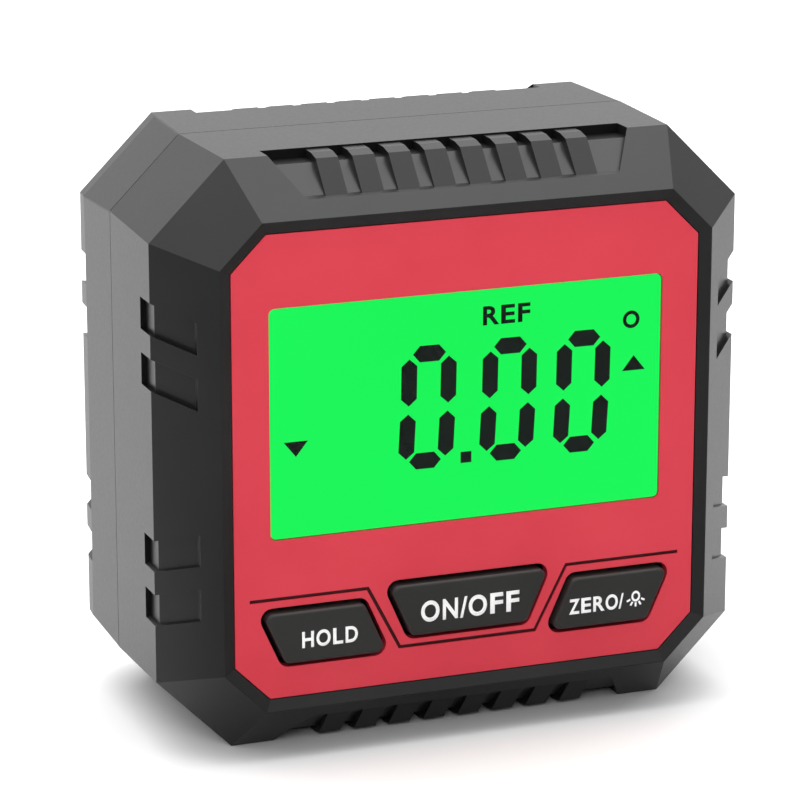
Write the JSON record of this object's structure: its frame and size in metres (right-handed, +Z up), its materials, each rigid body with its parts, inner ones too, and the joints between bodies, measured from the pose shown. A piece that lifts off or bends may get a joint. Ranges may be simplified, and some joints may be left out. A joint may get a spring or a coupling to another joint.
{
  "type": "digital angle gauge",
  "caption": "Corner-cut box angle gauge in two moulded shells: red face with backlit display and press keys, ribbed grips, battery door and a flat magnetic base.",
  "frame": {"origin": "centre of the base, midway between the key faces and the back", "axes": "+Z up from the base, the face looks along -Y, +X to the right of the face"},
  "size_m": [0.06, 0.0334, 0.058],
  "materials": {
    "shell_plastic": "fine-textured moulded ABS",
    "red_plastic": "satin moulded ABS",
    "clear_acrylic": "clear acrylic",
    "display_glass": "backlit display cell",
    "white_plastic": "moulded nylon",
    "guide_acrylic": "frosted acrylic",
    "led_resin": "cast resin",
    "zebra_rubber": "banded silicone",
    "board_laminate": "solder-masked laminate",
    "chip_resin": "moulded epoxy",
    "nickel_plate": "nickel plated",
    "key_plastic": "satin moulded ABS",
    "cell_jacket": "printed sleeve",
    "magnet_plate": "nickel plated magnet",
    "screw_steel": "zinc plated"
  },
  "bodies": {
    "housing": {"front_shell": "shell_plastic", "back_shell": "shell_plastic", "face_panel": "red_plastic", "display_lens": "clear_acrylic", "lcd_glass": "display_glass", "lcd_frame": "white_plastic", "light_guide": "guide_acrylic", "backlight_led": "led_resin", "zebra_strip": "zebra_rubber", "circuit_board": "board_laminate", "controller_chip": "chip_resin", "tilt_sensor": "chip_resin", "crystal_can": "nickel_plate", "hold_switch": "chip_resin", "power_switch": "chip_resin", "zero_switch": "chip_resin", "upper_cell": "cell_jacket", "lower_cell": "cell_jacket", "positive_contact": "nickel_plate", "negative_contact": "nickel_plate", "bridge_contact": "nickel_plate", "base_magnets": "magnet_plate", "case_screws": "screw_steel", "board_screws": "screw_steel"},
    "hold": {"hold_key": "key_plastic", "hold_plunger": "white_plastic"},
    "power": {"power_key": "key_plastic", "power_plunger": "white_plastic"},
    "zero": {"zero_key": "key_plastic", "zero_plunger": "white_plastic"},
    "door": {"battery_door": "shell_plastic"}
  },
  "joints": [
    {"name": "hold_press", "type": "slide", "parent": "housing", "child": "hold", "axis": [0, 1, 0], "range_m": [0, 0.0005], "stiffness_N_per_m": 2000},
    {"name": "power_press", "type": "slide", "parent": "housing", "child": "power", "axis": [0, 1, 0], "range_m": [0, 0.0005], "stiffness_N_per_m": 2000},
    {"name": "zero_press", "type": "slide", "parent": "housing", "child": "zero", "axis": [0, 1, 0], "range_m": [0, 0.0005], "stiffness_N_per_m": 2000},
    {"name": "door_swing", "type": "hinge", "parent": "housing", "child": "door", "pos_m": [0, 0.0167, 0.01678], "axis": [-1, 0, 0], "range_deg": [0, 60]}
  ]
}
